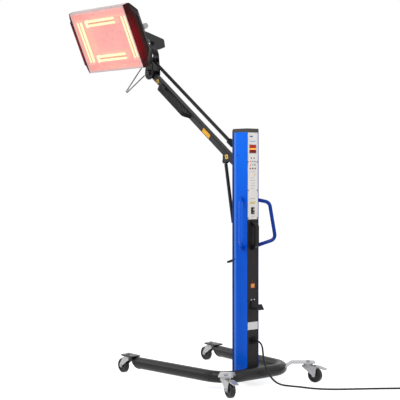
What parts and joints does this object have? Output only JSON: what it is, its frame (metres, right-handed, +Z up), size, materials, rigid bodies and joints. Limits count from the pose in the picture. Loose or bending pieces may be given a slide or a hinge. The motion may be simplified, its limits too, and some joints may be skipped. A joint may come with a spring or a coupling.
{
  "type": "infrared paint curing lamp",
  "caption": "Infrared panel on a cranked swivel at the end of a sprung lift arm, on an upright column with a U-shaped base on casters and a mains lead.",
  "frame": {"origin": "on the floor under the middle of the rigid object, the mains lead left out", "axes": "+Z up the column, -Y towards the arm and the open end of the base, +X to the side that the panel looks at"},
  "size_m": [1.1918, 1.895, 2.0872],
  "materials": {
    "black_paint": "satin black paint",
    "black_plastic": "matt black",
    "blue_paint": "gloss blue paint",
    "board": "green laminate",
    "bright": "bright",
    "cap_plastic": "deep red gloss",
    "dark_paint": "satin charcoal paint",
    "glass": "clear, pink in the lamps' light",
    "grey_plastic": "matt grey",
    "lamp": "glowing quartz",
    "red_lens": "clear red window",
    "reflector": "polished",
    "rubber": "black sheath",
    "tyre": "matt black",
    "white_paint": "off-white paint",
    "zinc": "bright zinc"
  },
  "bodies": {
    "arm": {"arm_grip": "black_plastic", "arm_tube": "dark_paint"},
    "stand": {"arm_pivot_pin": "zinc", "base_frame": "dark_paint", "cable_hook": "black_plastic", "column_foot": "dark_paint", "column_grip": "black_plastic", "column_profile": "blue_paint", "control_board": "board", "control_panel": "white_paint", "cord_coil": "rubber", "cord_gland": "black_plastic", "cord_lead": "rubber", "display_window": "red_lens", "link_pivot_pin": "zinc", "plug": "black_plastic", "power_module": "zinc", "rear_caster_bar_left": "zinc", "rear_caster_bar_right": "zinc", "rear_cover": "black_paint", "side_handle_left": "blue_paint", "side_handle_right": "blue_paint", "spring_anchor": "zinc", "top_cap": "grey_plastic"},
    "head": {"back_shell": "dark_paint", "end_cap_left": "cap_plastic", "end_cap_right": "cap_plastic", "front_frame": "bright", "glass": "glass", "head_gland": "grey_plastic", "lamp_tube_bottom": "lamp", "lamp_tube_left": "lamp", "lamp_tube_right": "lamp", "lamp_tube_top": "lamp", "reflector": "reflector", "tilt_knob": "black_plastic"},
    "pedal_left": {"brake_pedal_left": "zinc"},
    "pedal_right": {"brake_pedal_right": "zinc"},
    "caster_front_left": {"caster_fork_front_left": "zinc"},
    "caster_front_right": {"caster_fork_front_right": "zinc"},
    "caster_rear_left": {"caster_fork_rear_left": "zinc"},
    "caster_rear_right": {"caster_fork_rear_right": "zinc"},
    "wheel_front_left": {"caster_wheel_front_left": "tyre"},
    "wheel_front_right": {"caster_wheel_front_right": "tyre"},
    "wheel_rear_left": {"caster_wheel_rear_left": "tyre"},
    "wheel_rear_right": {"caster_wheel_rear_right": "tyre"},
    "distance_gauge": {"distance_gauge": "zinc"},
    "head_link": {"head_link": "dark_paint", "head_pivot_pin": "zinc", "link_head_pin": "zinc"},
    "key_1": {"key_1": "grey_plastic"},
    "key_2": {"key_2": "grey_plastic"},
    "key_3": {"key_3": "grey_plastic"},
    "link_rod": {"link_rod": "dark_paint"},
    "main_switch": {"main_switch": "black_plastic"},
    "release_lever": {"release_lever": "black_plastic"},
    "spring_cylinder": {"spring_cylinder": "black_paint"},
    "spring_rod": {"spring_rod": "zinc"},
    "swivel_bracket": {"swivel_bracket": "dark_paint"}
  },
  "joints": [
    {"name": "arm_lift", "type": "hinge", "parent": "stand", "child": "arm", "pos_m": [-0.05423, 0.36827, 1.148], "axis": [-1, 0, 0], "range_deg": [-45, 20]},
    {"name": "link_rod_lift", "type": "hinge", "parent": "stand", "child": "link_rod", "pos_m": [-0.05423, 0.36827, 1.231], "axis": [-1, 0, 0], "range_deg": [-45.5, 20.5]},
    {"name": "head_level", "type": "hinge", "parent": "arm", "child": "head_link", "pos_m": [-0.05423, -0.43589, 1.73226], "axis": [-1, 0, 0], "range_deg": [-20.5, 45.5]},
    {"name": "spring_swing", "type": "hinge", "parent": "arm", "child": "spring_cylinder", "pos_m": [-0.05423, 0.22201, 1.20359], "axis": [-1, 0, 0], "range_deg": [-19.5, 42.5]},
    {"name": "spring_stroke", "type": "slide", "parent": "spring_cylinder", "child": "spring_rod", "axis": [0, 0.1811, -0.9835], "range_m": [-0.119, 0.054]},
    {"name": "head_swivel", "type": "hinge", "parent": "head_link", "child": "swivel_bracket", "pos_m": [-0.05423, -0.43589, 1.87256], "axis": [0, 0, 1], "range_deg": [-214, 25]},
    {"name": "head_tilt", "type": "hinge", "parent": "swivel_bracket", "child": "head", "pos_m": [0.16564, -0.41936, 1.98489], "axis": [-0.075, 0.9972, 0], "range_deg": [-60, 35]},
    {"name": "gauge_swing", "type": "hinge", "parent": "head_link", "child": "distance_gauge", "pos_m": [-0.01323, -0.43589, 1.77426], "axis": [0, 0, 1], "range_deg": [-90, 60]},
    {"name": "front_right_swivel", "type": "hinge", "parent": "stand", "child": "caster_front_right", "pos_m": [0.25677, -0.26173, 0], "axis": [0, 0, 1], "continuous": true},
    {"name": "front_right_roll", "type": "hinge", "parent": "caster_front_right", "child": "wheel_front_right", "pos_m": [0.25677, -0.30473, 0.04], "axis": [1, 0, 0], "continuous": true},
    {"name": "rear_right_swivel", "type": "hinge", "parent": "stand", "child": "caster_rear_right", "pos_m": [0.24577, 0.56327, 0], "axis": [0, 0, 1], "continuous": true},
    {"name": "rear_right_roll", "type": "hinge", "parent": "caster_rear_right", "child": "wheel_rear_right", "pos_m": [0.25617, 0.60499, 0.04], "axis": [-0.9703, 0.2419, 0], "continuous": true},
    {"name": "brake_right", "type": "hinge", "parent": "caster_rear_right", "child": "pedal_right", "pos_m": [0.25932, 0.61761, 0.0865], "axis": [-0.9703, 0.2419, 0], "range_deg": [0, 8]},
    {"name": "front_left_swivel", "type": "hinge", "parent": "stand", "child": "caster_front_left", "pos_m": [-0.36523, -0.26173, 0], "axis": [0, 0, 1], "continuous": true},
    {"name": "front_left_roll", "type": "hinge", "parent": "caster_front_left", "child": "wheel_front_left", "pos_m": [-0.36523, -0.30473, 0.04], "axis": [1, 0, 0], "continuous": true},
    {"name": "rear_left_swivel", "type": "hinge", "parent": "stand", "child": "caster_rear_left", "pos_m": [-0.35423, 0.56327, 0], "axis": [0, 0, 1], "continuous": true},
    {"name": "rear_left_roll", "type": "hinge", "parent": "caster_rear_left", "child": "wheel_rear_left", "pos_m": [-0.36463, 0.60499, 0.04], "axis": [-0.9703, -0.2419, 0], "continuous": true},
    {"name": "brake_left", "type": "hinge", "parent": "caster_rear_left", "child": "pedal_left", "pos_m": [-0.36778, 0.61761, 0.0865], "axis": [-0.9703, -0.2419, 0], "range_deg": [0, 8]},
    {"name": "switch_rock", "type": "hinge", "parent": "stand", "child": "main_switch", "pos_m": [-0.05423, 0.43527, 0.9355], "axis": [1, 0, 0], "range_deg": [0, 12]},
    {"name": "release_press", "type": "hinge", "parent": "stand", "child": "release_lever", "pos_m": [-0.05423, 0.34327, 0.67], "axis": [1, 0, 0], "range_deg": [0, 15], "stiffness_Nm_per_rad": 0.8, "springref_deg": -6.88},
    {"name": "key_1_press", "type": "slide", "parent": "stand", "child": "key_1", "axis": [0, -1, 0], "range_m": [0, 0.001], "stiffness_N_per_m": 400, "springref_m": -0.0005},
    {"name": "key_2_press", "type": "slide", "parent": "stand", "child": "key_2", "axis": [0, -1, 0], "range_m": [0, 0.001], "stiffness_N_per_m": 400, "springref_m": -0.0005},
    {"name": "key_3_press", "type": "slide", "parent": "stand", "child": "key_3", "axis": [0, -1, 0], "range_m": [0, 0.001], "stiffness_N_per_m": 400, "springref_m": -0.0005}
  ],
  "couplings": [
    {"joint": "link_rod_lift", "follows": "arm_lift", "ratio": 1},
    {"joint": "head_level", "follows": "arm_lift", "ratio": -1},
    {"joint": "spring_swing", "follows": "arm_lift", "ratio": -0.93},
    {"joint": "spring_stroke", "follows": "arm_lift", "m_per_rad": 0.145}
  ]
}
